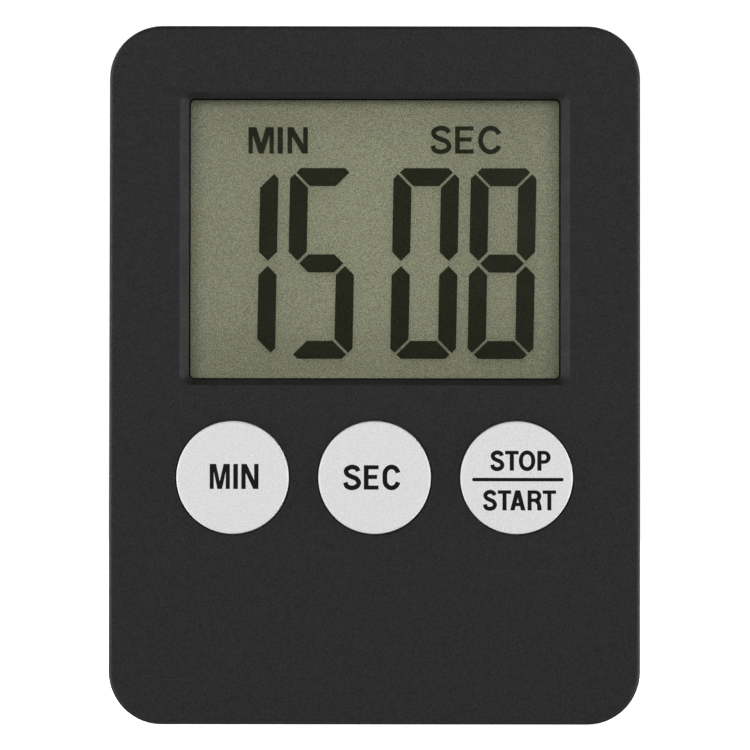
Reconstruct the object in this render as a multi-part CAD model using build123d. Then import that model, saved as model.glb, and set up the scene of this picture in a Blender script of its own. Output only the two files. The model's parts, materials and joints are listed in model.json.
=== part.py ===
from build123d import *
import math
import os

# Magnetic countdown timer with a fold-out stand, in millimetres.
# X runs across the timer, Y from its front face to its back, Z up its long side.
# The origin is on the surface that the timer stands on, under the middle of its box.
# Places across and up are (x, z) pairs. Places through the case are depths behind the front face.

# ---- driving dimensions -------------------------------------------------------------------------

CASE_WIDTH = 65.0
CASE_HEIGHT = 85.5
CASE_DEPTH = 10.0
CORNER_RADIUS = 6.5
FRONT_EDGE_RADIUS = 0.6
BACK_EDGE_RADIUS = 1.0

SIDE_WALL = 1.6
FRONT_WALL = 1.8
BACK_WALL = 1.5
SPLIT_DEPTH = 7.0
SPLIT_CHAMFER = 0.2
TONGUE_HEIGHT = 0.8
TONGUE_OUTSET = 0.85
TONGUE_CLEARANCE = 0.05

WINDOW_CENTRE_Z = 59.43
WINDOW_OPENING = (45.6, 34.5)
WINDOW_OPENING_RADIUS = 0.7
WINDOW_BEVEL_SIDE = 1.1
WINDOW_BEVEL_END = 0.7
WINDOW_BEVEL_DEPTH = 1.1
WINDOW_BEVEL_RADIUS = 1.5
WINDOW_RIM_RADIUS = 0.2
WINDOW_GAP = 0.18
WINDOW_EDGE_CHAMFER = 0.15
WINDOW_FLANGE = (49.4, 37.6)
WINDOW_FLANGE_RADIUS = 1.0
WINDOW_FLANGE_THICKNESS = 0.6
ADHESIVE_THICKNESS = 0.1
ADHESIVE_INSET = 0.1
ADHESIVE_CLEARANCE = 0.02

BUTTON_PITCH = 17.34
BUTTON_Z = 30.18
BUTTON_RADIUS = 6.87
BUTTON_GAP = 0.15
BUTTON_PROUD = 0.5
BUTTON_EDGE_RADIUS = 0.3
BUTTON_HOLE_RADIUS = 0.12
BUTTON_TOP = 1.2
BUTTON_SKIRT = 0.95
BUTTON_POST_RADIUS = 3.0
BUTTON_FLANGE_RADIUS = 7.6
BUTTON_FLANGE_THICKNESS = 0.6
BUTTON_PLAY = 0.1
BUTTON_TRAVEL = 0.8
KEY_WIDTH = 2.0
KEY_REACH = 8.2
COLLAR_RADII = (7.85, 8.45)
KEY_CLEARANCE = 0.2

GLASS_THICKNESS = 0.7
GLASS_SIZE = (50.0, 41.4)
GLASS_BOTTOM_Z = 40.7
CONTACT_LEDGE = 3.2
ZEBRA_SIZE = (47.0, 2.3)
ZEBRA_Z = 80.35
ZEBRA_SLOT_GAP = 0.2
FRAME_SIZE = (53.2, 44.4)
FRAME_CENTRE_Z = 61.0
FRAME_WINDOW = (38.0, 27.0)
FRAME_WINDOW_Z = 59.5
POLARIZER_THICKNESS = 0.2
SEAL_THICKNESS = 0.1
SEAL_WIDTH = 1.0
SEAL_INSET = 0.2
FILM_INSET = 0.4
LCD_GAP = 0.1

BOARD_FRONT = 5.4
BOARD_THICKNESS = 1.0
BOARD_SIZE = (60.6, 60.3)
BOARD_BOTTOM_Z = 22.3
BOARD_NOTCH = 5.0
PAD_THICKNESS = 0.05
PAD_SLIT = 0.4
PAD_RIM = 0.3
CHIP_PLACE = (0.0, 62.0)
CHIP_RADIUS = 5.0
CHIP_HEIGHT = 1.3
CRYSTAL_PLACE = (11.0, 52.0)
CRYSTAL_CAN = (1.0, 6.0)
CRYSTAL_LEAD = (0.2, 2.0)
CAPACITORS = ((-14.0, 54.0), 4, 2.6, 0.8)
RESISTORS = ((-14.0, 50.0), 5, 2.2, 0.45)
SURFACE_PART = (0.8, 1.6)

KEYPAD_SIZE = (51.6, 15.0)
KEYPAD_RADIUS = 1.0
KEYPAD_RISE = 0.3
KEYPAD_THICKNESS = 1.0
KEYPAD_HOLE_RADIUS = 5.2
PLUNGER_RADIUS = 2.9
WEB_THICKNESS = 0.35
PILL_RADIUS = 2.5
PILL_THICKNESS = 0.3

CELL_PLACE = (-21.0, 13.0)
CELL_RADIUS = 5.8
CELL_HEIGHT = 5.4
CELL_CAP_RADIUS = 4.7
CELL_CAP_HEIGHT = 0.45
CELL_CLEARANCE = 0.3
CELL_EDGE_RADIUS = 0.22
CELL_RING_WALL = 1.0
CELL_RING_BACK = 5.9
CELL_RING_GAP = (-3.7, 3.3)
CONTACT_STRIP = 0.25
CONTACT_STRIP_WIDTH = 2.4
CONTACT_CLEARANCE = 0.01
NEGATIVE_CONTACT_X = -2.0
POSITIVE_CONTACT_X = 1.6
CONTACT_TAB = (8.5, 11.6)
FINGER_BENDS = (-1.0, 1.0, 3.5, 7.4)
LEAF_START = 1.0
LEAF_BEND = (7.8, 5.6)

DOOR_RADIUS = 7.85
DOOR_GAP = 0.15
DOOR_THICKNESS = 1.5
DOOR_SPIGOT_WALL = 0.6
DOOR_LUG_REACH = 0.9
DOOR_LUG_ANGLE = 30.0
DOOR_TURN = 50.0
DOOR_NOTCH_PLAY = 4.0
DOOR_EDGE_CHAMFER = 0.2
DOOR_SEAT_RADIUS = 9.2
COIN_SLOT = (11.0, 1.8, 0.9)
MARK_SIZE = (1.2, 0.4, 0.2)
DOOR_MARK_RADIUS = 6.6
COVER_MARK_RADIUS = 9.2

BUZZER_PLACE = (21.0, 13.0)
BUZZER_RADIUS = 7.5
BUZZER_CERAMIC_RADIUS = 5.0
BUZZER_RING_RADIUS = 6.4
BUZZER_RING_FRONT = 7.3
BUZZER_RING_GAP = 0.1
BUZZER_PLATE_THICKNESS = 0.2
BUZZER_CERAMIC_THICKNESS = 0.15
WIRE_RADIUS = 0.25
WIRE_BEND = 1.2
WIRE_LIFT = 0.03
RED_WIRE = ((-1.0, 3.0), (-1.5, 6.0), (-5.0, 8.0), (-5.0, 12.0))
BLACK_WIRE = ((2.0, 6.5), (2.5, 9.0), (-0.5, 10.0), (-1.0, 13.0))
SOUND_HOLE_RADIUS = 0.6
SOUND_HOLE_CIRCLE = 2.8
SOUND_HOLE_COUNT = 6

STAND_WIDTH = 22.0
STAND_THICKNESS = 1.8
STAND_TIP_Z = 3.0
STAND_AXIS = (40.0, 8.8)
STAND_HEEL = 0.5
STAND_PIN_RADIUS = 0.8
STAND_PIN_LENGTH = 1.9
STAND_BORE_CLEARANCE = 0.05
STAND_BORE_END_GAP = 0.2
STAND_TIP_RADIUS = 2.5
STAND_EDGE_CHAMFER = 0.2
STAND_RIM = 1.4
STAND_POCKETS = ((11.0, 19.4), (20.4, 28.8), (29.8, 37.6))
STAND_POCKET_DEPTH = 0.8
GRIP_COUNT = 3
GRIP_PITCH = 1.4
GRIP_SIZE = (12.0, 0.6, 0.3)
GRIP_RISE = 5.2
NAIL_NOTCH_RADIUS = 5.0
NAIL_NOTCH_DROP = 2.0
RECESS_DEPTH = 2.4
RECESS_GAP = 0.3
RECESS_TIP_GAP = 0.5
RECESS_END = 0.98
RECESS_WALL = 0.8
RECESS_END_WALL = 1.2
RECESS_SIDE_WALL = 1.4
HINGE_SIDE_WALL = 2.6
HINGE_DROP = 2.0

MAGNET_RADIUS = 6.0
MAGNET_THICKNESS = 1.5
MAGNET_PLACES = ((-20.5, 66.0), (20.5, 66.0))
MAGNET_SUNK = 0.2
MAGNET_CHAMFER = 0.2
MAGNET_CLEARANCE = 0.05
MAGNET_POCKET_WALL = 1.2
MAGNET_POCKET_FLOOR = 0.9

CASE_SCREW_PLACES = tuple((x, z) for x in (-28.1, 28.1) for z in (4.5, 81.0))
BOARD_SCREW_PLACES = tuple((x, z) for x in (-28.9, 28.9) for z in (26.0, 72.0))

SCREW_BOSS_BACK = 7.5
CASE_BOSS_RADIUS = 2.1
COVER_BOSS_RADIUS = 2.9
BOARD_BOSS_RADIUS = 2.05
CASE_SCREW_SEAT = 8.8
CASE_SCREW_HEAD = (1.8, 1.0)
CASE_SCREW_SHANK = (1.0, 5.0)
BOARD_SCREW_HEAD = (1.5, 0.9)
BOARD_SCREW_SHANK = (0.8, 3.2)
SCREW_EDGE_RADIUS = 0.3
CROSS_RECESS = (1.2, 0.4, 0.5)
CASE_BOSS_FLOOR = 3.2
BOARD_BOSS_FLOOR = 2.8
THREAD_CLEARANCE = 0.02
SCREW_CLEARANCE = 0.2
BOARD_HOLE_CLEARANCE = 0.15
FRAME_BOSS_CLEARANCE = 0.25

# ---- derived places -----------------------------------------------------------------------------

BACK_Y = (CASE_DEPTH + BUTTON_PROUD) / 2
FRONT_Y = BACK_Y - CASE_DEPTH
CASE_CENTRE = (0.0, CASE_HEIGHT / 2)
BACK_WALL_INSIDE = CASE_DEPTH - BACK_WALL
BOARD_BACK = BOARD_FRONT + BOARD_THICKNESS

FLANGE_FRONT = FRONT_WALL + ADHESIVE_THICKNESS
GROOVE_FRONT = SPLIT_DEPTH - TONGUE_HEIGHT - TONGUE_CLEARANCE
LCD_FRONT = FLANGE_FRONT + WINDOW_FLANGE_THICKNESS + LCD_GAP
FRONT_GLASS = LCD_FRONT + POLARIZER_THICKNESS
SEAL = FRONT_GLASS + GLASS_THICKNESS
REAR_GLASS = SEAL + SEAL_THICKNESS
REFLECTOR = REAR_GLASS + GLASS_THICKNESS
LCD_BACK = REFLECTOR + POLARIZER_THICKNESS
SHORT_GLASS = GLASS_SIZE[1] - CONTACT_LEDGE

BUTTON_BACK = FRONT_WALL + BUTTON_PLAY + BUTTON_FLANGE_THICKNESS
KEYPAD_FRONT = BOARD_FRONT - KEYPAD_THICKNESS
PILL_BACK = BOARD_FRONT - PAD_THICKNESS - BUTTON_TRAVEL - 0.05
PLUNGER_BACK = PILL_BACK - PILL_THICKNESS

DOOR_BACK = CASE_DEPTH - 0.05
DOOR_FRONT = DOOR_BACK - DOOR_THICKNESS
DOOR_SEAT = DOOR_FRONT - 0.05
DOOR_RING_FRONT = DOOR_SEAT - 0.9
DOOR_LUG_BACK = DOOR_RING_FRONT - 0.12
DOOR_LUG_FRONT = 6.4
SPIGOT_RADIUS = CELL_RADIUS + CELL_CLEARANCE + DOOR_SPIGOT_WALL
LUG_RADIUS = SPIGOT_RADIUS + DOOR_LUG_REACH
CELL_BACK = DOOR_FRONT - 0.1
CELL_FRONT = CELL_BACK - CELL_HEIGHT

MAGNET_FLOOR = CASE_DEPTH - MAGNET_SUNK - MAGNET_THICKNESS
RECESS_FLOOR = CASE_DEPTH - RECESS_DEPTH
STAND_AXIS_Z, STAND_AXIS_DEPTH = STAND_AXIS
STAND_FRONT = STAND_AXIS_DEPTH - STAND_THICKNESS / 2
STAND_BACK = STAND_AXIS_DEPTH + STAND_THICKNESS / 2


BUTTONS = {
    "minutes": (-BUTTON_PITCH, BUTTON_Z),
    "seconds": (0.0, BUTTON_Z),
    "start_stop": (BUTTON_PITCH, BUTTON_Z),
}


# ---- helpers ------------------------------------------------------------------------------------


def plane_at(depth):
    """The X-Z plane at a depth behind the front face, facing forwards."""
    return Plane(origin=(0, FRONT_Y + depth, 0), x_dir=(1, 0, 0), z_dir=(0, -1, 0))


def layer(sketch, front, back):
    """The solid of a sketch in X and Z between two depths."""
    return extrude(plane_at(back) * sketch, amount=back - front)


def disc(place, radius, front, back):
    """A cylinder along Y at a place."""
    return layer(Pos(*place) * Circle(radius), front, back)


def ring(place, inner, outer, front, back):
    """A round tube along Y at a place."""
    return layer(Pos(*place) * (Circle(outer) - Circle(inner)), front, back)


def block(x_range, z_range, front, back):
    """A box between two x values, two z values and two depths."""
    width, height = x_range[1] - x_range[0], z_range[1] - z_range[0]
    centre = Pos(sum(x_range) / 2, sum(z_range) / 2)
    return layer(centre * Rectangle(width, height), front, back)


def case_outline(inset):
    """The case's rounded outline, moved inwards."""
    rounded = RectangleRounded(CASE_WIDTH - 2 * inset, CASE_HEIGHT - 2 * inset, CORNER_RADIUS - inset)
    return Pos(*CASE_CENTRE) * rounded


def window_outline(grow_x, grow_z, radius):
    """A rounded rectangle about the display's centre, larger than its opening by what is given."""
    width, height = WINDOW_OPENING
    rounded = RectangleRounded(width + 2 * grow_x, height + 2 * grow_z, radius)
    return Pos(0, WINDOW_CENTRE_Z) * rounded


def sector(place, radius, angle, width):
    """A wedge of a circle at a place, about one angle in degrees."""
    edge = [math.radians(angle + side * width / 2) for side in (-1, 1)]
    far = 1.5 * radius
    points = [(0, 0)] + [(far * math.cos(a), far * math.sin(a)) for a in edge]
    wedge = make_face(Polyline(*points, close=True))
    return Pos(*place) * (Circle(radius) & wedge)


def block_about(place, size, front, back):
    """A box between two depths, about a place."""
    return layer(Pos(*place) * Rectangle(*size), front, back)


def radial_mark(place, radius, angle):
    """A short line cut into the back, along a radius from a place."""
    length, width, depth = MARK_SIZE
    turn = math.radians(angle)
    centre = (place[0] + radius * math.cos(turn), place[1] + radius * math.sin(turn))
    line = Pos(*centre) * Rot(0, 0, angle) * SlotOverall(length, width)
    return layer(line, CASE_DEPTH - depth, CASE_DEPTH)


def front_edges(solid):
    """The edges of the solid's foremost face."""
    return solid.faces().sort_by(Axis.Y)[0].edges()


def hole_edges(solid):
    """The edges of the holes in the solid's foremost face."""
    return [edge for wire in solid.faces().sort_by(Axis.Y)[0].inner_wires() for edge in wire.edges()]


def back_edges(solid):
    """The edges of the solid's rearmost face."""
    return solid.faces().sort_by(Axis.Y)[-1].edges()


def save(name, solid):
    """Writes one sub-part."""
    solid.label = name
    export_step(solid, f"parts/{name}.step")


# ---- case ---------------------------------------------------------------------------------------


def window_hole():
    """The opening over the display with its sloping bevel."""
    wide = window_outline(WINDOW_BEVEL_SIDE, WINDOW_BEVEL_END, WINDOW_BEVEL_RADIUS)
    narrow = window_outline(0, 0, WINDOW_OPENING_RADIUS)
    bevel = loft([plane_at(0) * wide, plane_at(WINDOW_BEVEL_DEPTH) * narrow])
    return bevel + layer(narrow, WINDOW_BEVEL_DEPTH, FRONT_WALL + 1)


def button_collar(place):
    """The guide round a button, with a notch for the key that stops the button turning."""
    x, z = place
    half_notch = KEY_WIDTH / 2 + KEY_CLEARANCE
    collar = ring(place, *COLLAR_RADII, FRONT_WALL, KEYPAD_FRONT)
    notch_z = (z - COLLAR_RADII[1] - 1, z - BUTTON_RADIUS)
    return collar - block((x - half_notch, x + half_notch), notch_z, FRONT_WALL, KEYPAD_FRONT)


def cell_ring():
    """The ring that holds the button cell, open upwards for the contacts."""
    x, z = CELL_PLACE
    inner = CELL_RADIUS + CELL_CLEARANCE
    outer = inner + CELL_RING_WALL
    wall = ring(CELL_PLACE, inner, outer, FRONT_WALL, CELL_RING_BACK)
    left, right = CELL_RING_GAP
    return wall - block((x + left, x + right), (z, z + outer), FRONT_WALL, CELL_RING_BACK)


def case_bosses():
    """The bosses for the case's screws. Behind the groove they stop short of the rear cover's tongue."""
    inside_tongue = case_outline(SIDE_WALL + TONGUE_CLEARANCE)
    bosses = []
    for place in CASE_SCREW_PLACES:
        boss = Pos(*place) * Circle(CASE_BOSS_RADIUS)
        bosses.append(layer(boss, FRONT_WALL, GROOVE_FRONT))
        bosses.append(layer(boss & inside_tongue, GROOVE_FRONT, SCREW_BOSS_BACK))
    return bosses


def screw_bores():
    """The holes that the case's screws and the board's screws bite into."""
    in_case = CASE_SCREW_SHANK[0] + THREAD_CLEARANCE
    on_board = BOARD_SCREW_SHANK[0] + THREAD_CLEARANCE
    bores = [disc(place, in_case, CASE_BOSS_FLOOR, SCREW_BOSS_BACK) for place in CASE_SCREW_PLACES]
    bores += [disc(place, on_board, BOARD_BOSS_FLOOR, BOARD_FRONT) for place in BOARD_SCREW_PLACES]
    return bores


def front_shell():
    """The front shell's wall, with its groove for the rear cover's tongue and its window opening."""
    shell = layer(case_outline(0), 0, SPLIT_DEPTH)
    shell = fillet(front_edges(shell), FRONT_EDGE_RADIUS)
    shell = chamfer(back_edges(shell), SPLIT_CHAMFER)
    shell -= layer(case_outline(SIDE_WALL), FRONT_WALL, SPLIT_DEPTH)
    shell -= layer(case_outline(TONGUE_OUTSET - TONGUE_CLEARANCE), GROOVE_FRONT, SPLIT_DEPTH)
    shell -= window_hole()
    return fillet(hole_edges(shell), WINDOW_RIM_RADIUS)


def button_hole(place):
    """What the front wall loses for a button, with the hole's rounded edge."""
    x, z = place
    radius = BUTTON_RADIUS + BUTTON_GAP
    flare = radius + BUTTON_HOLE_RADIUS
    profile = Polyline((0, -1), (flare, -1), (flare, 0))
    profile += RadiusArc((flare, 0), (radius, BUTTON_HOLE_RADIUS), BUTTON_HOLE_RADIUS)
    profile += Polyline((radius, BUTTON_HOLE_RADIUS), (radius, FRONT_WALL), (0, FRONT_WALL), (0, -1))
    section = Plane(origin=(x, FRONT_Y, z), x_dir=(1, 0, 0), z_dir=(0, 0, 1)) * make_face(profile)
    return revolve(section, Axis((x, FRONT_Y, z), (0, 1, 0)))


def front_case():
    """The front shell with the window opening, button holes, guides and screw bosses."""
    shell = front_shell() + cell_ring()
    for place in BUTTONS.values():
        shell += button_collar(place)
    for boss in case_bosses():
        shell += boss
    for place in BOARD_SCREW_PLACES:
        shell += disc(place, BOARD_BOSS_RADIUS, FRONT_WALL, BOARD_FRONT)
    for place in BUTTONS.values():
        shell -= button_hole(place)
    for bore in screw_bores():
        shell -= bore
    return shell


def stand_recess():
    """The space that the folded stand lies in."""
    half = STAND_WIDTH / 2 + RECESS_GAP
    bottom = STAND_TIP_Z - RECESS_TIP_GAP
    return block((-half, half), (bottom, STAND_AXIS_Z + RECESS_END), RECESS_FLOOR, CASE_DEPTH)


def stand_housing():
    """The inner walls of the stand's recess, thicker round the hinge bores."""
    half = STAND_WIDTH / 2 + RECESS_GAP
    front = RECESS_FLOOR - RECESS_WALL
    bottom = STAND_TIP_Z - RECESS_TIP_GAP - RECESS_WALL
    top = STAND_AXIS_Z + RECESS_END + RECESS_END_WALL
    side, hinge = half + RECESS_SIDE_WALL, half + HINGE_SIDE_WALL
    walls = block((-side, side), (bottom, top), front, BACK_WALL_INSIDE)
    return walls + block((-hinge, hinge), (STAND_AXIS_Z - HINGE_DROP, top), front, BACK_WALL_INSIDE)


def stand_bores():
    """The two blind holes that the stand's pins turn in."""
    length = STAND_PIN_LENGTH + STAND_BORE_END_GAP - RECESS_GAP
    middle = STAND_WIDTH / 2 + RECESS_GAP + length / 2
    bore = Cylinder(STAND_PIN_RADIUS + STAND_BORE_CLEARANCE, length, rotation=(0, 90, 0))
    y = FRONT_Y + STAND_AXIS_DEPTH
    return [Pos(side * middle, y, STAND_AXIS_Z) * bore for side in (-1, 1)]


def door_seat():
    """What the cover loses for the battery door: its recess, its hole and the two lug notches."""
    seat = disc(CELL_PLACE, DOOR_RADIUS + DOOR_GAP, DOOR_SEAT, CASE_DEPTH)
    seat += disc(CELL_PLACE, SPIGOT_RADIUS + DOOR_GAP, DOOR_RING_FRONT, DOOR_SEAT)
    for angle in (-DOOR_TURN, 180 - DOOR_TURN):
        notch = sector(CELL_PLACE, LUG_RADIUS + DOOR_GAP, angle, DOOR_LUG_ANGLE + DOOR_NOTCH_PLAY)
        seat += layer(notch, DOOR_RING_FRONT, DOOR_SEAT)
    return seat


def door_marks():
    """On the cover, one line for the door's locked place and one for its open place."""
    return [radial_mark(CELL_PLACE, COVER_MARK_RADIUS, angle) for angle in (90, 90 - DOOR_TURN)]


def sound_holes():
    """The ring of small holes over the buzzer, with one in the middle."""
    x, z = BUZZER_PLACE
    turns = [2 * math.pi * k / SOUND_HOLE_COUNT for k in range(SOUND_HOLE_COUNT)]
    places = [(x + SOUND_HOLE_CIRCLE * math.cos(a), z + SOUND_HOLE_CIRCLE * math.sin(a)) for a in turns]
    places.append(BUZZER_PLACE)
    return [disc(place, SOUND_HOLE_RADIUS, BACK_WALL_INSIDE, CASE_DEPTH) for place in places]


def cover_shell():
    """The back shell's wall and the tongue that fits the front shell's groove."""
    shell = layer(case_outline(0), SPLIT_DEPTH, CASE_DEPTH)
    shell = fillet(back_edges(shell), BACK_EDGE_RADIUS)
    shell = chamfer(front_edges(shell), SPLIT_CHAMFER)
    shell -= layer(case_outline(SIDE_WALL), SPLIT_DEPTH, BACK_WALL_INSIDE)
    tongue = case_outline(TONGUE_OUTSET) - case_outline(SIDE_WALL)
    return shell + layer(tongue, SPLIT_DEPTH - TONGUE_HEIGHT, SPLIT_DEPTH + TONGUE_HEIGHT)


def cover_additions():
    """What stands on the cover's inside: housings, rings and bosses."""
    ring_outer = BUZZER_RADIUS + BUZZER_RING_GAP
    inside = case_outline(SIDE_WALL / 2)
    pocket_front = MAGNET_FLOOR - MAGNET_POCKET_FLOOR
    pocket_radius = MAGNET_RADIUS + MAGNET_POCKET_WALL
    added = [stand_housing()]
    added.append(disc(CELL_PLACE, DOOR_SEAT_RADIUS, DOOR_RING_FRONT, BACK_WALL_INSIDE))
    added.append(ring(BUZZER_PLACE, BUZZER_RING_RADIUS, ring_outer, BUZZER_RING_FRONT, BACK_WALL_INSIDE))
    for place in MAGNET_PLACES:
        added.append(disc(place, pocket_radius, pocket_front, BACK_WALL_INSIDE))
    for place in CASE_SCREW_PLACES:
        boss = Pos(*place) * Circle(COVER_BOSS_RADIUS)
        added.append(layer(boss & inside, SCREW_BOSS_BACK, BACK_WALL_INSIDE))
    return added


def cover_cuts():
    """What the cover loses: recess, seat, bores, holes, pockets and marks."""
    cuts = [stand_recess(), door_seat()]
    cuts += stand_bores() + sound_holes() + door_marks()
    for place in MAGNET_PLACES:
        cuts.append(disc(place, MAGNET_RADIUS + MAGNET_CLEARANCE, MAGNET_FLOOR, CASE_DEPTH))
    for place in CASE_SCREW_PLACES:
        cuts.append(disc(place, CASE_SCREW_SHANK[0] + SCREW_CLEARANCE, SCREW_BOSS_BACK, CASE_DEPTH))
        cuts.append(disc(place, CASE_SCREW_HEAD[0] + SCREW_CLEARANCE, CASE_SCREW_SEAT, CASE_DEPTH))
    return cuts


def rear_cover():
    """The back shell: stand recess, battery door seat, magnet pockets, sound holes and screw holes."""
    shell = cover_shell()
    for addition in cover_additions():
        shell += addition
    for cut in cover_cuts():
        shell -= cut
    return shell


# ---- display ------------------------------------------------------------------------------------


def flange_outline(inset):
    """The window's flange, moved inwards."""
    width, height = WINDOW_FLANGE
    rounded = RectangleRounded(width - 2 * inset, height - 2 * inset, WINDOW_FLANGE_RADIUS - inset)
    return Pos(0, WINDOW_CENTRE_Z) * rounded


def display_window():
    """The clear window: a raised panel that fills the opening, on a wider flange."""
    radius = WINDOW_OPENING_RADIUS - WINDOW_GAP
    panel = layer(window_outline(-WINDOW_GAP, -WINDOW_GAP, radius), WINDOW_BEVEL_DEPTH, FLANGE_FRONT)
    panel = chamfer(front_edges(panel), WINDOW_EDGE_CHAMFER)
    return panel + layer(flange_outline(0), FLANGE_FRONT, FLANGE_FRONT + WINDOW_FLANGE_THICKNESS)


def window_adhesive():
    """The black tape that bonds the window's flange to the case and reaches in almost to the panel."""
    reach = ADHESIVE_CLEARANCE - WINDOW_GAP
    inner = window_outline(reach, reach, WINDOW_OPENING_RADIUS + reach)
    return layer(flange_outline(ADHESIVE_INSET) - inner, FRONT_WALL, FLANGE_FRONT)


def glass_sheet(height, front, thickness, inset=0.0):
    """One sheet of the display, measured up from the glass's lower edge."""
    half = GLASS_SIZE[0] / 2 - inset
    z_range = (GLASS_BOTTOM_Z + inset, GLASS_BOTTOM_Z + height - inset)
    return block((-half, half), z_range, front, front + thickness)


def lcd_seal():
    """The ring of epoxy between the two glasses."""
    outer = glass_sheet(SHORT_GLASS, SEAL, SEAL_THICKNESS, SEAL_INSET)
    return outer - glass_sheet(SHORT_GLASS, SEAL, SEAL_THICKNESS, SEAL_INSET + SEAL_WIDTH)


def lcd_frame():
    """The tray that holds the display against the case and guides the contact strip."""
    tray = block_about((0, FRAME_CENTRE_Z), FRAME_SIZE, FRONT_WALL, BOARD_FRONT)
    pocket = (GLASS_SIZE[0] + 2 * LCD_GAP, GLASS_SIZE[1] + 2 * LCD_GAP)
    tray -= block_about((0, GLASS_BOTTOM_Z + GLASS_SIZE[1] / 2), pocket, FRONT_WALL, LCD_BACK + LCD_GAP)
    tray -= block_about((0, FRAME_WINDOW_Z), FRAME_WINDOW, LCD_BACK, BOARD_FRONT)
    slot = (ZEBRA_SIZE[0] + 2 * ZEBRA_SLOT_GAP, ZEBRA_SIZE[1] + 2 * ZEBRA_SLOT_GAP)
    tray -= block_about((0, ZEBRA_Z), slot, LCD_BACK, BOARD_FRONT)
    for place in CASE_SCREW_PLACES:
        tray -= disc(place, CASE_BOSS_RADIUS + FRAME_BOSS_CLEARANCE, FRONT_WALL, BOARD_FRONT)
    return tray


def display_parts():
    """All sub-parts of the display, by name."""
    return {
        "display_window": display_window(),
        "window_adhesive": window_adhesive(),
        "lcd_front_polarizer": glass_sheet(SHORT_GLASS, LCD_FRONT, POLARIZER_THICKNESS, FILM_INSET),
        "lcd_front_glass": glass_sheet(GLASS_SIZE[1], FRONT_GLASS, GLASS_THICKNESS),
        "lcd_seal": lcd_seal(),
        "lcd_rear_glass": glass_sheet(SHORT_GLASS, REAR_GLASS, GLASS_THICKNESS),
        "lcd_reflector": glass_sheet(SHORT_GLASS, REFLECTOR, POLARIZER_THICKNESS, FILM_INSET),
        "lcd_frame": lcd_frame(),
        "zebra_strip": block_about((0, ZEBRA_Z), ZEBRA_SIZE, SEAL, BOARD_FRONT),
    }


# ---- board --------------------------------------------------------------------------------------


def circuit_board():
    """The board, cut back at the case's upper screw bosses and drilled for its own screws."""
    width, height = BOARD_SIZE
    board = block_about((0, BOARD_BOTTOM_Z + height / 2), (width, height), BOARD_FRONT, BOARD_BACK)
    for place in CASE_SCREW_PLACES:
        board -= block_about(place, (BOARD_NOTCH, BOARD_NOTCH), BOARD_FRONT, BOARD_BACK)
    for place in BOARD_SCREW_PLACES:
        board -= disc(place, BOARD_SCREW_SHANK[0] + BOARD_HOLE_CLEARANCE, BOARD_FRONT, BOARD_BACK)
    return board


def switch_pads():
    """Under each button, two half discs of plated copper that the pill bridges."""
    pads = []
    radius = PILL_RADIUS + PAD_RIM
    for place in BUTTONS.values():
        whole = disc(place, radius, BOARD_FRONT - PAD_THICKNESS, BOARD_FRONT)
        slit = block_about(place, (PAD_SLIT, 2 * radius), BOARD_FRONT - PAD_THICKNESS, BOARD_FRONT)
        pads += (whole - slit).solids()
    return Compound(children=pads)


def controller_chip():
    """The dome of black resin over the chip."""
    x, z = CHIP_PLACE
    radius = (CHIP_RADIUS**2 + CHIP_HEIGHT**2) / (2 * CHIP_HEIGHT)
    ball = Pos(x, FRONT_Y + BOARD_BACK + CHIP_HEIGHT - radius, z) * Sphere(radius)
    return ball & disc(CHIP_PLACE, 2 * CHIP_RADIUS, BOARD_BACK, BOARD_BACK + 2 * CHIP_HEIGHT)


def crystal():
    """The quartz crystal's metal can, lying on the board with its two leads."""
    x, z = CRYSTAL_PLACE
    can_radius, can_length = CRYSTAL_CAN
    lead_radius, lead_length = CRYSTAL_LEAD
    y = FRONT_Y + BOARD_BACK + can_radius
    can = Pos(x, y, z) * Cylinder(can_radius, can_length, rotation=(0, 90, 0))
    lead = Cylinder(lead_radius, lead_length, rotation=(0, 90, 0))
    lead_x = x - (can_length + lead_length) / 2
    return can + [Pos(lead_x, y, z + side * can_radius / 2) * lead for side in (-1, 1)]


def row_of_chips(start, count, pitch, height):
    """Small surface-mounted parts in a row along X."""
    x, z = start
    places = [(x + k * pitch, z) for k in range(count)]
    back = BOARD_BACK + height
    return Compound(children=[block_about(place, SURFACE_PART, BOARD_BACK, back) for place in places])


def board_parts():
    """The board and what is soldered on it, by name."""
    return {
        "circuit_board": circuit_board(),
        "switch_pads": switch_pads(),
        "controller_chip": controller_chip(),
        "crystal": crystal(),
        "chip_capacitors": row_of_chips(*CAPACITORS),
        "chip_resistors": row_of_chips(*RESISTORS),
    }


# ---- buttons ------------------------------------------------------------------------------------


def button_cap(place):
    """A hollow cap with a centre post, a flange that keeps it in the case, and a key."""
    x, z = place
    cap = disc(place, BUTTON_RADIUS, -BUTTON_PROUD, BUTTON_BACK)
    cap = fillet(front_edges(cap), BUTTON_EDGE_RADIUS)
    inner = BUTTON_RADIUS - BUTTON_SKIRT
    cap -= ring(place, BUTTON_POST_RADIUS, inner, BUTTON_TOP - BUTTON_PROUD, BUTTON_BACK)
    flange_front = BUTTON_BACK - BUTTON_FLANGE_THICKNESS
    cap += ring(place, inner, BUTTON_FLANGE_RADIUS, flange_front, BUTTON_BACK)
    half = KEY_WIDTH / 2
    cap += block((x - half, x + half), (z - KEY_REACH, z - BUTTON_RADIUS), flange_front, BUTTON_BACK)
    return cap


def keypad_sheet():
    """The flat rubber sheet between the collars and the board."""
    sheet = Pos(0, BUTTON_Z + KEYPAD_RISE) * RectangleRounded(*KEYPAD_SIZE, KEYPAD_RADIUS)
    for place in BUTTONS.values():
        sheet -= Pos(*place) * Circle(KEYPAD_HOLE_RADIUS)
    return layer(sheet, KEYPAD_FRONT, BOARD_FRONT)


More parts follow.
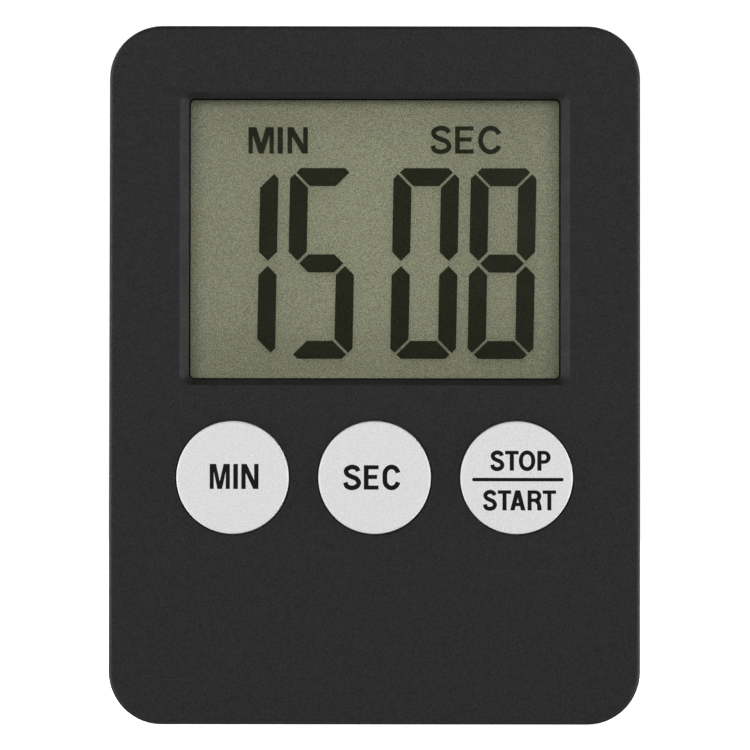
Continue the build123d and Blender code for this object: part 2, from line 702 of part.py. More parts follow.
def keypad_web(place):
    """The thin cone of rubber that carries the plunger and bends when it is pressed."""
    start, end = KEYPAD_FRONT + WEB_THICKNESS, KEYPAD_FRONT - WEB_THICKNESS
    profile = make_face(
        Polyline(
            (KEYPAD_HOLE_RADIUS, KEYPAD_FRONT),
            (KEYPAD_HOLE_RADIUS, start),
            (PLUNGER_RADIUS, end),
            (PLUNGER_RADIUS, end - WEB_THICKNESS),
            close=True,
        )
    )
    section = Plane(origin=(place[0], FRONT_Y, place[1]), x_dir=(1, 0, 0), z_dir=(0, 0, 1)) * profile
    axis = Axis((place[0], FRONT_Y, place[1]), (0, 1, 0))
    return revolve(section, axis)


def button_parts():
    """Each button's cap, rubber plunger, carbon pill and web, with the keypad sheet, by name."""
    parts = {"keypad_sheet": keypad_sheet()}
    for name, place in BUTTONS.items():
        parts[f"button_{name}"] = button_cap(place)
        parts[f"keypad_plunger_{name}"] = disc(place, PLUNGER_RADIUS, BUTTON_BACK, PLUNGER_BACK)
        parts[f"contact_pill_{name}"] = disc(place, PILL_RADIUS, PLUNGER_BACK, PILL_BACK)
        parts[f"keypad_web_{name}"] = keypad_web(place)
    return parts


# ---- battery ------------------------------------------------------------------------------------


def battery_cell():
    """The button cell: a can with a smaller cap on its front end."""
    cap = disc(CELL_PLACE, CELL_CAP_RADIUS, CELL_FRONT, CELL_FRONT + CELL_CAP_HEIGHT)
    cap = fillet(front_edges(cap), CELL_EDGE_RADIUS)
    can = disc(CELL_PLACE, CELL_RADIUS, CELL_FRONT + CELL_CAP_HEIGHT, CELL_BACK)
    can = fillet(front_edges(can) + back_edges(can), CELL_EDGE_RADIUS)
    return cap + can


def contact_strip(x, points):
    """A bent strip of spring metal. Its points are (z, depth) pairs along the middle of its thickness."""
    line = Polyline(*[(z, FRONT_Y + depth) for z, depth in points])
    side = Plane(origin=(x - CONTACT_STRIP_WIDTH / 2, 0, 0), x_dir=(0, 0, 1), z_dir=(-1, 0, 0))
    return extrude(side * trace(line, CONTACT_STRIP), amount=-CONTACT_STRIP_WIDTH)


def battery_contacts():
    """The finger under the cell and the leaf beside it, both soldered to the board's back."""
    x, z = CELL_PLACE
    reach = CONTACT_STRIP / 2 + CONTACT_CLEARANCE
    on_board, on_wall, under_cell = BOARD_BACK + reach, FRONT_WALL + reach, CELL_FRONT - reach
    tab = [(z + up, on_board) for up in CONTACT_TAB]
    depths = (under_cell, under_cell, on_wall, on_wall)
    finger = [(z + up, depth) for up, depth in zip(FINGER_BENDS, depths)]
    beside_cell = z + CELL_RADIUS + reach
    up, bend = LEAF_BEND
    leaf = [(beside_cell, CELL_FRONT + LEAF_START), (beside_cell, bend), (z + up, bend)]
    return {
        "battery_contact_negative": contact_strip(x + NEGATIVE_CONTACT_X, finger + tab),
        "battery_contact_positive": contact_strip(x + POSITIVE_CONTACT_X, leaf + tab),
    }


def battery_door():
    """The round door: a disc with a coin slot and a mark, and a spigot with two lugs that lock it."""
    door = disc(CELL_PLACE, DOOR_RADIUS, DOOR_FRONT, DOOR_BACK)
    door = chamfer(back_edges(door), DOOR_EDGE_CHAMFER)
    door += ring(CELL_PLACE, CELL_RADIUS + CELL_CLEARANCE, SPIGOT_RADIUS, DOOR_LUG_FRONT, DOOR_FRONT)
    for angle in (0, 180):
        lug = sector(CELL_PLACE, LUG_RADIUS, angle, DOOR_LUG_ANGLE)
        lug -= Pos(*CELL_PLACE) * Circle(SPIGOT_RADIUS - DOOR_SPIGOT_WALL / 2)
        door += layer(lug, DOOR_LUG_FRONT, DOOR_LUG_BACK)
    length, width, depth = COIN_SLOT
    slot = Pos(*CELL_PLACE) * SlotOverall(length, width)
    door -= layer(slot, DOOR_BACK - depth, DOOR_BACK)
    return door - radial_mark(CELL_PLACE, DOOR_MARK_RADIUS, 90)


def battery_parts():
    """The cell, its contacts and its door, by name."""
    return {"battery_cell": battery_cell(), "battery_door": battery_door()} | battery_contacts()


# ---- buzzer -------------------------------------------------------------------------------------


def buzzer_wire(points):
    """A thin lead between the buzzer and the board's back. Its points count from the buzzer's middle."""
    x, z = BUZZER_PLACE
    y = FRONT_Y + BOARD_BACK + WIRE_RADIUS + WIRE_LIFT
    line = FilletPolyline(*[(x + across, y, z + up) for across, up in points], radius=WIRE_BEND)
    section = Plane(origin=line @ 0, z_dir=line % 0) * Circle(WIRE_RADIUS)
    return sweep(section, path=line)


def buzzer_parts():
    """The brass plate, its ceramic disc and its two leads, by name."""
    plate_front = BUZZER_RING_FRONT - BUZZER_PLATE_THICKNESS
    ceramic_front = plate_front - BUZZER_CERAMIC_THICKNESS
    return {
        "buzzer_plate": disc(BUZZER_PLACE, BUZZER_RADIUS, plate_front, BUZZER_RING_FRONT),
        "buzzer_ceramic": disc(BUZZER_PLACE, BUZZER_CERAMIC_RADIUS, ceramic_front, plate_front),
        "buzzer_wire_red": buzzer_wire(RED_WIRE),
        "buzzer_wire_black": buzzer_wire(BLACK_WIRE),
    }


# ---- stand, magnets and screws ------------------------------------------------------------------


def stand():
    """The fold-out flap: two hinge pins, pockets on its inner side, grip grooves and a fingernail notch."""
    half = STAND_WIDTH / 2
    flap = block((-half, half), (STAND_TIP_Z, STAND_AXIS_Z + STAND_HEEL), STAND_FRONT, STAND_BACK)
    tip_corners = flap.edges().filter_by(Axis.Y).group_by(Axis.Z)[0]
    flap = fillet(tip_corners, STAND_TIP_RADIUS)
    flap = chamfer(back_edges(flap), STAND_EDGE_CHAMFER)
    rim = half - STAND_RIM
    for z_range in STAND_POCKETS:
        flap -= block((-rim, rim), z_range, STAND_FRONT, STAND_FRONT + STAND_POCKET_DEPTH)
    length, width, depth = GRIP_SIZE
    for k in range(GRIP_COUNT):
        place = (0, STAND_TIP_Z + GRIP_RISE + GRIP_PITCH * k)
        flap -= block_about(place, (length, width), STAND_BACK - depth, STAND_BACK)
    flap -= disc((0, STAND_TIP_Z - NAIL_NOTCH_DROP), NAIL_NOTCH_RADIUS, STAND_FRONT, STAND_BACK)
    pin = Cylinder(STAND_PIN_RADIUS, STAND_PIN_LENGTH, rotation=(0, 90, 0))
    for side in (-1, 1):
        middle = side * (half + STAND_PIN_LENGTH / 2)
        flap += Pos(middle, FRONT_Y + STAND_AXIS_DEPTH, STAND_AXIS_Z) * pin
    return flap


def magnets():
    """The two disc magnets in the cover's pockets."""
    discs = [disc(place, MAGNET_RADIUS, MAGNET_FLOOR, CASE_DEPTH - MAGNET_SUNK) for place in MAGNET_PLACES]
    return Compound(children=[chamfer(back_edges(one), MAGNET_CHAMFER) for one in discs])


def screw(place, seat, head, shank):
    """A cross-head screw. Its head rests at a depth, and its shank runs forwards from there."""
    (head_radius, head_height), (shank_radius, shank_length) = head, shank
    top = seat + head_height
    body = disc(place, head_radius, seat, top)
    body = fillet(back_edges(body), SCREW_EDGE_RADIUS)
    body += disc(place, shank_radius, seat - shank_length, seat)
    reach, width, depth = CROSS_RECESS
    length = reach * head_radius
    cross = Rectangle(length, width) + Rectangle(width, length)
    return body - layer(Pos(*place) * cross, top - depth, top)


def screw_group(places, *screw_sizes):
    """Equal screws at several places."""
    return Compound(children=[screw(place, *screw_sizes) for place in places])


def fastener_parts():
    """The screws, each kind as one group, by name."""
    return {
        "case_screws": screw_group(CASE_SCREW_PLACES, CASE_SCREW_SEAT, CASE_SCREW_HEAD, CASE_SCREW_SHANK),
        "board_screws": screw_group(BOARD_SCREW_PLACES, BOARD_BACK, BOARD_SCREW_HEAD, BOARD_SCREW_SHANK),
    }


# ---- assembly -----------------------------------------------------------------------------------

assembly = {"front_case": front_case(), "rear_cover": rear_cover(), "stand": stand(), "magnets": magnets()}
assembly |= display_parts() | board_parts() | button_parts()
assembly |= battery_parts() | buzzer_parts() | fastener_parts()

os.makedirs("parts", exist_ok=True)
for part_name, part_solid in assembly.items():
    save(part_name, part_solid)
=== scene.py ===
import json
import math

import bmesh
import bpy
from mathutils import Matrix, Vector


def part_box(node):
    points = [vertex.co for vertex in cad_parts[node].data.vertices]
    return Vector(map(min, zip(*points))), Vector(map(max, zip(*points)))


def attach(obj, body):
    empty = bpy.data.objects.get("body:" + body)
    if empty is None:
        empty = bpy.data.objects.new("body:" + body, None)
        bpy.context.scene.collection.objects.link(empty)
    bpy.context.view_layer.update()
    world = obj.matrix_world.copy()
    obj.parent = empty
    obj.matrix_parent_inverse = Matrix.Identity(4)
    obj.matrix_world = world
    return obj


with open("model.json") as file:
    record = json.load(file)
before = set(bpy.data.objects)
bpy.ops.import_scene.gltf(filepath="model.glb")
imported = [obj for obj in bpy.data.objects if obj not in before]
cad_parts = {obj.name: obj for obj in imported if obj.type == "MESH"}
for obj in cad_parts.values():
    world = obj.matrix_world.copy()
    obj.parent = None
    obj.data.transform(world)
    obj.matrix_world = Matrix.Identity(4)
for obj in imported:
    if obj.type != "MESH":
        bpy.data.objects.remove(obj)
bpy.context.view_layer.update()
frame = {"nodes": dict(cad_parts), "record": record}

MM = 0.001
nodes = frame["nodes"]
scene = bpy.context.scene
scene.view_settings.view_transform = "Standard"
scene.cycles.transparent_max_bounces = 24

# ---- places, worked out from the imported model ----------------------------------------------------

case_low, case_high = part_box("front_case")
FACE_Y = case_low.y
MID_Z = (case_low.z + case_high.z) / 2
CAP_FACE_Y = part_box("button_seconds")[0].y
SEAL_FACE_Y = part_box("lcd_seal")[0].y

# The camera looks up a little at a point of the front face. FRAME_WIDTH is the picture's width there.
CAMERA_DISTANCE = 0.400
CAMERA_TARGET = Vector((0.045 * MM, FACE_Y, MID_Z - 0.04 * MM))
CAMERA_RISE = math.radians(0.9)
CAMERA_ROLL = math.radians(-0.07)
FRAME_WIDTH = 0.09168
SENSOR = 36.0


# ---- meshes --------------------------------------------------------------------------------------


MERGE_DISTANCE = 1e-7


def mesh_object(name, mesh):
    """A mesh as an object in the scene."""
    made = bpy.data.objects.new(name, mesh)
    scene.collection.objects.link(made)
    return made


def flat_shape(name, loops, y, thickness):
    """A thin closed solid standing in the X-Z plane, its front at y. Loops inside others are holes."""
    curve = bpy.data.curves.new(name, "CURVE")
    curve.dimensions = "2D"
    curve.fill_mode = "BOTH"
    curve.extrude = thickness / 2
    for loop in loops:
        spline = curve.splines.new("POLY")
        spline.points.add(len(loop) - 1)
        for point, (x, z) in zip(spline.points, loop):
            point.co = (x, z, 0, 1)
        spline.use_cyclic_u = True
    holder = bpy.data.objects.new(name + "_curve", curve)
    scene.collection.objects.link(holder)
    bpy.context.view_layer.update()
    mesh = bpy.data.meshes.new_from_object(holder)
    bpy.data.objects.remove(holder)
    bpy.data.curves.remove(curve)
    mesh.name = name
    upright = Matrix.Rotation(math.pi / 2, 4, "X")
    mesh.transform(Matrix.Translation((0, y + thickness / 2, 0)) @ upright)
    shape = bmesh.new()
    shape.from_mesh(mesh)
    bmesh.ops.remove_doubles(shape, verts=shape.verts, dist=MERGE_DISTANCE)
    bmesh.ops.recalc_face_normals(shape, faces=shape.faces)
    shape.to_mesh(mesh)
    shape.free()
    return mesh_object(name, mesh)


def arc(centre, radii, start, end, steps=12):
    """Points along part of an ellipse, from one angle to another in degrees."""
    turns = [math.radians(start + (end - start) * k / steps) for k in range(steps + 1)]
    return [(centre[0] + radii[0] * math.cos(a), centre[1] + radii[1] * math.sin(a)) for a in turns]


def ribbon(line, width):
    """The outline of a pen stroke of constant width along a line of points."""
    left, right = [], []
    for k, (x, z) in enumerate(line):
        ahead, behind = line[min(k + 1, len(line) - 1)], line[max(k - 1, 0)]
        dx, dz = ahead[0] - behind[0], ahead[1] - behind[1]
        size = math.hypot(dx, dz)
        nx, nz = -dz / size * width / 2, dx / size * width / 2
        left.append((x + nx, z + nz))
        right.append((x - nx, z - nz))
    return left + right[::-1]


# ---- letters: plain upright capitals, w wide, h high, drawn with a pen of width t ----------------


def letter_i(w, h, t):
    return [[(0, 0), (w, 0), (w, h), (0, h)]]


def letter_e(w, h, t):
    bar, short = 0.87 * t, 0.9 * w
    low, high = 0.52 * h - bar / 2, 0.52 * h + bar / 2
    top = [(t, high), (t, h - bar), (w, h - bar), (w, h), (0, h)]
    return [[(0, 0), (w, 0), (w, bar), (t, bar), (t, low), (short, low), (short, high)] + top]


def letter_t(w, h, t):
    left, right, bar, root = (w - t) / 2, (w + t) / 2, 0.85 * t, 0.87 * t
    top = [(right, h - root), (w, h - bar), (w, h), (0, h), (0, h - bar), (left, h - root)]
    return [[(left, 0), (right, 0)] + top]


def letter_n(w, h, t):
    foot, drop = 1.2 * t, 0.36 * h
    left = [(0, 0), (t, 0), (t, h - drop), (w - foot, 0), (w, 0)]
    return [left + [(w, h), (w - t, h), (w - t, drop), (foot, h), (0, h)]]


def letter_m(w, h, t):
    foot, tip, shoulder, stem, notch = 0.31 * w, 0.53 * t, 0.31 * h, 0.93 * t, 0.7 * w - 0.25 * h
    bottom = [(0, 0), (stem, 0), (stem, h - shoulder), (w / 2 - tip, 0), (w / 2 + tip, 0)]
    right = [(w - stem, h - shoulder), (w - stem, 0), (w, 0), (w, h), (w - foot, h)]
    return [bottom + right + [(w / 2, notch), (foot, h), (0, h)]]


def letter_a(w, h, t):
    top, leg, low, high = 1.2 * t, 1.1 * t, 0.21 * h, 0.38 * h
    lean = (w - top) / (2 * h)
    tip = (w / 2 - leg) / lean
    outer = [(0, 0), (leg, 0), (leg + low * lean, low), (w - leg - low * lean, low), (w - leg, 0)]
    outer += [(w, 0), ((w + top) / 2, h), ((w - top) / 2, h)]
    return [outer, [(leg + high * lean, high), (w - leg - high * lean, high), (w / 2, tip)]]


def bowl(w, h, t, low):
    """The outer and inner curves of a P's bowl, from the top down."""
    radius = (h - low) / 2
    centre = (w - radius, (h + low) / 2)
    return arc(centre, (radius, radius), 90, -90), arc(centre, (radius - t, radius - 0.85 * t), 90, -90)


def letter_p(w, h, t):
    low = 0.35 * h
    outer, inner = bowl(w, h, t, low)
    hole = [(t, low + 0.85 * t), (t, h - 0.85 * t)] + inner
    return [[(0, 0), (0, h)] + outer + [(t, low), (t, 0)], hole]


def letter_r(w, h, t):
    low = 0.42 * h
    outer, inner = bowl(0.98 * w, h, t, low)
    hole = [(t, low + 0.85 * t), (t, h - 0.85 * t)] + inner
    leg = [(0.94 * w, 0.7 * low), (0.99 * w, 0.45 * low), (w, 0), (w - 1.05 * t, 0)]
    leg += [(w - 1.15 * t, 0.7 * low), (w - 1.7 * t, low), (t, low), (t, 0)]
    return [[(0, 0), (0, h)] + outer[:10] + leg, hole]


def letter_o(w, h, t):
    def ring(inset):
        across, up = w / 2 - inset, 1.2 * (w / 2 - inset)
        top = arc((w / 2, h - inset - up), (across, up), 0, 180)
        return top + arc((w / 2, inset + up), (across, up), 180, 360)

    return [ring(0), ring(t)]


def letter_c(w, h, t):
    """A narrow C: a round top and bottom joined by a straight back."""
    across, up = (w - t) / 2, (w - t) / 2 * 1.1
    top = arc((w / 2, h - t / 2 - up), (across, up), 12, 180, 14)
    return [ribbon(top + arc((w / 2, t / 2 + up), (across, up), 180, 348, 14), t)]


def letter_c_wide(w, h, t):
    """A wide C: most of an ellipse."""
    across, up = w / (1 + math.cos(math.radians(30))) - t / 2, (h - t) / 2
    return [ribbon(arc((across + t / 2, h / 2), (across, up), 30, 330, 30), t)]


# The middle of an S's stroke, from its upper end down, in parts of the width and the height.
S_LINE = (
    (0.955, 0.794), (0.836, 0.937), (0.485, 1.0), (0.134, 0.91), (0.045, 0.772),
    (0.164, 0.635), (0.485, 0.529), (0.821, 0.434), (1.0, 0.249), (0.858, 0.074),
    (0.485, 0.0), (0.112, 0.074), (0.0, 0.265),
)


def smooth(points, steps=5):
    """A smooth line through points: a Catmull-Rom spline."""
    ends = [points[0], *points, points[-1]]
    line = []
    for a, b, c, d in zip(ends, ends[1:], ends[2:], ends[3:]):
        for k in range(steps):
            s = k / steps
            weights = (-s + 2 * s**2 - s**3, 2 - 5 * s**2 + 3 * s**3, s + 4 * s**2 - 3 * s**3, s**3 - s**2)
            line.append(tuple(sum(w * p[i] for w, p in zip(weights, (a, b, c, d))) / 2 for i in (0, 1)))
    return line + [points[-1]]


def letter_s(w, h, t):
    return [ribbon(smooth([(t / 2 + x * (w - t), t / 2 + z * (h - t)) for x, z in S_LINE]), t)]


LETTERS = {
    "A": letter_a, "C": letter_c, "C wide": letter_c_wide, "E": letter_e, "I": letter_i, "M": letter_m,
    "N": letter_n, "O": letter_o, "P": letter_p, "R": letter_r, "S": letter_s, "T": letter_t,
}

# Round letters pass the line by this part of their height, above and below.
ROUND_LETTERS = ("C", "C wide", "O", "S")
OVERSHOOT = 0.025


def word(spelling, start, height, pen):
    """The loops of a word. Each letter is (its name, its left edge, its width), in millimetres."""
    loops = []
    for name, left, width in spelling:
        extra = OVERSHOOT * height if name in ROUND_LETTERS else 0.0
        for loop in LETTERS[name](width, height + 2 * extra, pen):
            loops.append([((left + x) * MM, (start - extra + z) * MM) for x, z in loop])
    return loops


# ---- materials -----------------------------------------------------------------------------------


def new_material(name):
    """An empty node material and its principled shader."""
    made = bpy.data.materials.new(name)
    made.use_nodes = True
    return made, made.node_tree.nodes["Principled BSDF"]


def add_node(material, kind, **inputs):
    """A node with values set on its sockets. Names use _ for a space."""
    node = material.node_tree.nodes.new(kind)
    for key, value in inputs.items():
        node.inputs[key.replace("_", " ")].default_value = value
    return node


def link(material, source, target):
    material.node_tree.links.new(source, target)


def object_coordinates(material):
    return add_node(material, "ShaderNodeTexCoord").outputs["Object"]


def noise(material, size, detail=2.0, roughness=0.5):
    """Noise whose grains are about size metres across."""
    node = add_node(material, "ShaderNodeTexNoise", Scale=1 / size, Detail=detail, Roughness=roughness)
    link(material, object_coordinates(material), node.inputs["Vector"])
    return node.outputs["Fac"]


def ramp(material, factor, stops):
    """A colour ramp with (position, colour) stops."""
    node = add_node(material, "ShaderNodeValToRGB")
    elements = node.color_ramp.elements
    while len(elements) > len(stops):
        elements.remove(elements[-1])
    while len(elements) < len(stops):
        elements.new(1.0)
    for element, (position, colour) in zip(elements, stops):
        element.position = position
        element.color = (*colour, 1.0)
    link(material, factor, node.inputs["Fac"])
    return node.outputs["Color"]


def grey(value):
    return (value, value, value)


def shade(colour, factor):
    return tuple(min(channel * factor, 1.0) for channel in colour)


def uneven(material, size, value, spread):
    """A grey that wanders round a value, in patches about size metres across."""
    low, high = grey(value - spread), grey(value + spread)
    return ramp(material, noise(material, size), [(0.3, low), (0.7, high)])


def grained(name, colour, size, spread, rough, bump, metallic=0.0, specular=0.5, depth=0.00002):
    """A surface with fine grain, size metres across, in its colour, its gloss and its relief."""
    made, shader = new_material(name)
    grain = noise(made, size, detail=3.0, roughness=0.6)
    fine_colour = ramp(made, grain, [(0.3, shade(colour, 1 - spread)), (0.7, shade(colour, 1 + spread))])
    link(made, fine_colour, shader.inputs["Base Color"])
    link(made, uneven(made, size * 6, rough, 0.05), shader.inputs["Roughness"])
    relief = add_node(made, "ShaderNodeBump", Strength=bump, Distance=depth)
    link(made, grain, relief.inputs["Height"])
    link(made, relief.outputs["Normal"], shader.inputs["Normal"])
    shader.inputs["Metallic"].default_value = metallic
    shader.inputs["Specular IOR Level"].default_value = specular
    return made


def math_node(material, operation, first, second):
    """A math node. Each input is a socket or a number."""
    node = material.node_tree.nodes.new("ShaderNodeMath")
    node.operation = operation
    for socket, value in zip(node.inputs, (first, second)):
        if isinstance(value, (int, float)):
            socket.default_value = value
        else:
            link(material, value, socket)
    return node.outputs["Value"]


def clear(name, tint, gloss, rough):
    """A thin clear sheet: light goes straight through it, and its outer face mirrors a little."""
    made, shader = new_material(name)
    made.node_tree.nodes.remove(shader)
    out = made.node_tree.nodes["Material Output"]
    through = add_node(made, "ShaderNodeBsdfTransparent", Color=(*tint, 1.0))
    mirror = add_node(made, "ShaderNodeBsdfGlossy")
    link(made, uneven(made, 0.004, rough, 0.03), mirror.inputs["Roughness"])
    edge = add_node(made, "ShaderNodeFresnel", IOR=gloss)
    inside = made.node_tree.nodes.new("ShaderNodeNewGeometry").outputs["Backfacing"]
    outside = math_node(made, "SUBTRACT", 1.0, inside)
    mix = made.node_tree.nodes.new("ShaderNodeMixShader")
    link(made, math_node(made, "MULTIPLY", edge.outputs["Fac"], outside), mix.inputs["Fac"])
    link(made, through.outputs["BSDF"], mix.inputs[1])
    link(made, mirror.outputs["BSDF"], mix.inputs[2])
    link(made, mix.outputs["Shader"], out.inputs["Surface"])
    return made


def striped(name, pale, dark, period, rough):
    """A rubber with stripes across X, each pair of stripes one period wide in metres."""
    made, shader = new_material(name)
    bands = add_node(made, "ShaderNodeTexWave", Scale=math.pi / (10 * period), Distortion=0.3)
    link(made, object_coordinates(made), bands.inputs["Vector"])
    stripes = ramp(made, bands.outputs["Fac"], [(0.45, dark), (0.55, pale)])
    link(made, stripes, shader.inputs["Base Color"])
    link(made, uneven(made, 0.0005, rough, 0.05), shader.inputs["Roughness"])
    return made


case_plastic = grained(
    "case_plastic", (0.0105, 0.0105, 0.0107), 0.0002, 0.9, 0.58, 1.0, specular=0.28, depth=0.00003
)
segment_ink = grained("segment_ink", (0.0135, 0.0165, 0.0045), 0.0002, 0.9, 0.6, 0.1, specular=0.1)
legend_ink = grained("legend_ink", grey(0.006), 0.0002, 0.3, 0.6, 0.2, specular=0.1)

MATERIALS = {
    "black_tape": grained("black_tape", grey(0.003), 0.0005, 0.2, 0.9, 0.3, specular=0.05),
    "seal_epoxy": grained("seal_epoxy", (0.25, 0.25, 0.22), 0.0005, 0.1, 0.6, 0.2),
    "frame_plastic": grained("frame_plastic", (0.6, 0.6, 0.58), 0.0004, 0.04, 0.5, 0.2),
    "zebra_rubber": striped("zebra_rubber", (0.5, 0.22, 0.25), (0.02, 0.02, 0.02), 0.0005, 0.7),
    "board_laminate": grained("board_laminate", (0.02, 0.12, 0.05), 0.0006, 0.15, 0.35, 0.2),
    "plated_copper": grained("plated_copper", (0.8, 0.6, 0.25), 0.0003, 0.05, 0.3, 0.1, metallic=1.0),
    "chip_resin": grained("chip_resin", grey(0.012), 0.0008, 0.2, 0.3, 0.2),
    "capacitor_ceramic": grained("capacitor_ceramic", (0.42, 0.3, 0.18), 0.0003, 0.1, 0.5, 0.2),
    "resistor_ceramic": grained("resistor_ceramic", grey(0.03), 0.0003, 0.1, 0.4, 0.2),
    "keypad_rubber": grained("keypad_rubber", grey(0.35), 0.0005, 0.05, 0.65, 0.2),
    "carbon_rubber": grained("carbon_rubber", grey(0.02), 0.0003, 0.2, 0.8, 0.3),
    "cell_steel": grained("cell_steel", (0.6, 0.6, 0.58), 0.0003, 0.05, 0.28, 0.1, metallic=1.0),
    "nickel": grained("nickel", (0.62, 0.61, 0.58), 0.0003, 0.06, 0.25, 0.15, metallic=1.0),
    "screw_steel": grained("screw_steel", grey(0.45), 0.0002, 0.1, 0.35, 0.2, metallic=1.0),
    "buzzer_brass": grained("buzzer_brass", (0.7, 0.52, 0.22), 0.0004, 0.06, 0.3, 0.1, metallic=1.0),
    "buzzer_ceramic": grained("buzzer_ceramic", (0.75, 0.75, 0.7), 0.0003, 0.04, 0.45, 0.1),
    "wire_red": grained("wire_red", (0.5, 0.02, 0.02), 0.0004, 0.05, 0.4, 0.1),
    "wire_black": grained("wire_black", grey(0.02), 0.0004, 0.1, 0.4, 0.1),
    "case_plastic": case_plastic,
    "button_plastic": grained("cap_plastic", grey(0.78), 0.00018, 0.12, 0.36, 0.15),
    "reflector_film": grained("reflector", (0.385, 0.39, 0.314), 0.00016, 0.57, 0.8, 0.3, specular=0.2),
    "clear_window": clear("window_clear", (0.985, 0.985, 0.98), 1.33, 0.15),
    "display_glass": clear("glass_clear", (0.99, 0.99, 0.985), 1.05, 0.1),
    "polarizer_film": clear("film_clear", (0.97, 0.975, 0.94), 1.05, 0.3),
}


def dress_nodes():
    """Gives each CAD node the material of its slot in the record."""
    for row in frame["record"]["subparts"]:
        mesh = nodes[row["node"]].data
        mesh.materials.clear()
        mesh.materials.append(MATERIALS[row["material_slot"]])


# ---- display -------------------------------------------------------------------------------------

# Millimetres: the digits' centres, half a digit's width and height, and the widths of its bars.
DIGIT_PLACES = (-16.15, -6.61, 6.16, 15.7)
DIGIT_Z = 56.53
HALF_WIDTH, HALF_HEIGHT = 4.06, 11.78
UPRIGHT, LEVEL, HALF_MIDDLE = 2.25, 2.23, 1.12
# The cut corners, the gaps at the ends of the bars, and the digits' slant.
CORNER, TIP, SPACE = 0.55, 0.74, 0.31
LEVEL_GAP, MIDDLE_GAP = 0.78, 1.34
LEAN = math.tan(math.radians(1.02))

FIGURES = "1508"
DIGIT_NAMES = ("tens_min", "units_min", "tens_sec", "units_sec")
SEGMENTS = {"0": "abcdef", "1": "bc", "5": "afgcd", "8": "abcdefg"}

# The layer of liquid crystal: its front and its depth.
CRYSTAL_Y = SEAL_FACE_Y + 0.02 * MM
CRYSTAL = 0.05 * MM


def level_bar():
    """The top bar of a digit about its centre: a trapezium with its outer corners cut off."""
    end, edge = HALF_WIDTH - LEVEL_GAP, HALF_HEIGHT - CORNER
    right = [(end - CORNER, HALF_HEIGHT), (end, edge), (end - (LEVEL - CORNER), HALF_HEIGHT - LEVEL)]
    return right + [(-x, z) for x, z in reversed(right)]


def upright_bar():
    """The upper right bar: its top end slants both ways, its bottom end comes to a point."""
    top = HALF_HEIGHT - TIP
    outer, inner = HALF_WIDTH, HALF_WIDTH - UPRIGHT
    upper = [(inner, top - (UPRIGHT - CORNER)), (outer - CORNER, top), (outer, top - CORNER)]
    low = SPACE + UPRIGHT / 2
    return upper + [(outer, low), (outer - UPRIGHT / 2, SPACE), (inner, low)]


def middle_bar():
    """The middle bar: a long hexagon."""
    end, half = HALF_WIDTH - MIDDLE_GAP, HALF_MIDDLE
    right = [(end - half, half), (end, 0), (end - half, -half)]
    return right + [(-x, z) for x, z in reversed(right)]


def segment(name):
    """One bar of a seven-segment digit, by its usual letter."""
    across = {"a": 1, "b": 1, "c": 1, "d": 1, "e": -1, "f": -1, "g": 1}[name]
    up = {"a": 1, "b": 1, "c": -1, "d": -1, "e": -1, "f": 1, "g": 1}[name]
    shape = {"a": level_bar, "d": level_bar, "g": middle_bar}.get(name, upright_bar)()
    return [(x * across, z * up) for x, z in shape]


def make_digits():
    """The four lit digits, in the space between the display's glasses."""
    for name, figure, place in zip(DIGIT_NAMES, FIGURES, DIGIT_PLACES):
        loops = []
        for bar in SEGMENTS[figure]:
            loops.append([((place + x + z * LEAN) * MM, (DIGIT_Z + z) * MM) for x, z in segment(bar)])
        digit = flat_shape(f"lcd_digit_{name}", loops, CRYSTAL_Y, CRYSTAL)
        finish_piece(digit, segment_ink, "case")


def make_display_words():
    """The words over the digits."""
    minutes = (("M", -15.62, 3.13), ("I", -12.02, 0.66), ("N", -10.8, 2.51))
    seconds = (("S", 6.84, 2.62), ("E", 9.89, 2.28), ("C wide", 12.73, 2.86))
    words = {
        "lcd_word_min": word(minutes, 70.08, 3.28, 0.58),
        "lcd_word_sec": word(seconds, 70.11, 3.38, 0.6),
    }
    for name, loops in words.items():
        piece = flat_shape(name, loops, CRYSTAL_Y, CRYSTAL)
        finish_piece(piece, segment_ink, "case")


def finish_piece(piece, material, body):
    """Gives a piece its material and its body."""
    piece.visible_shadow = False
    piece.data.materials.clear()
    piece.data.materials.append(material)
    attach(piece, body)


# ---- buttons -------------------------------------------------------------------------------------

# The depth of the printed ink.
INK = 0.02 * MM


def make_legends():
    """The printed words on the three buttons."""
    minutes = (("M", -20.12, 2.46), ("I", -17.24, 0.57), ("N", -16.26, 2.1))
    seconds = (("S", -3.84, 2.2), ("E", -1.31, 1.8), ("C", 0.97, 2.2))
    stop = (("S", 14.11, 1.73), ("T", 15.92, 1.66), ("O", 17.6, 2.01), ("P", 19.86, 1.63))
    start = (
        ("S", 13.22, 1.73), ("T", 15.04, 1.64), ("A", 16.54, 1.88), ("R", 18.67, 1.72),
        ("T", 20.51, 1.64),
    )
    start_stop = word(stop, 31.04, 2.43, 0.51) + word(start, 26.2, 2.45, 0.5)
    start_stop.append(rounded_bar((11.9, 29.74), (23.07, 30.17)))
    legends = {
        "minutes": word(minutes, 28.77, 3.06, 0.54),
        "seconds": word(seconds, 28.71, 2.98, 0.58),
        "start_stop": start_stop,
    }
    for name, loops in legends.items():
        piece = flat_shape(f"legend_{name}", loops, CAP_FACE_Y - INK / 2, INK)
        finish_piece(piece, legend_ink, f"button_{name}")


def rounded_bar(low, high):
    """A level bar with round ends, between two corners in millimetres."""
    (x0, z0), (x1, z1) = low, high
    radius = (z1 - z0) / 2
    left = arc((x0 + radius, z0 + radius), (radius, radius), 90, 270)
    right = arc((x1 - radius, z0 + radius), (radius, radius), -90, 90)
    return [(x * MM, z * MM) for x, z in left + right]


# ---- studio --------------------------------------------------------------------------------------

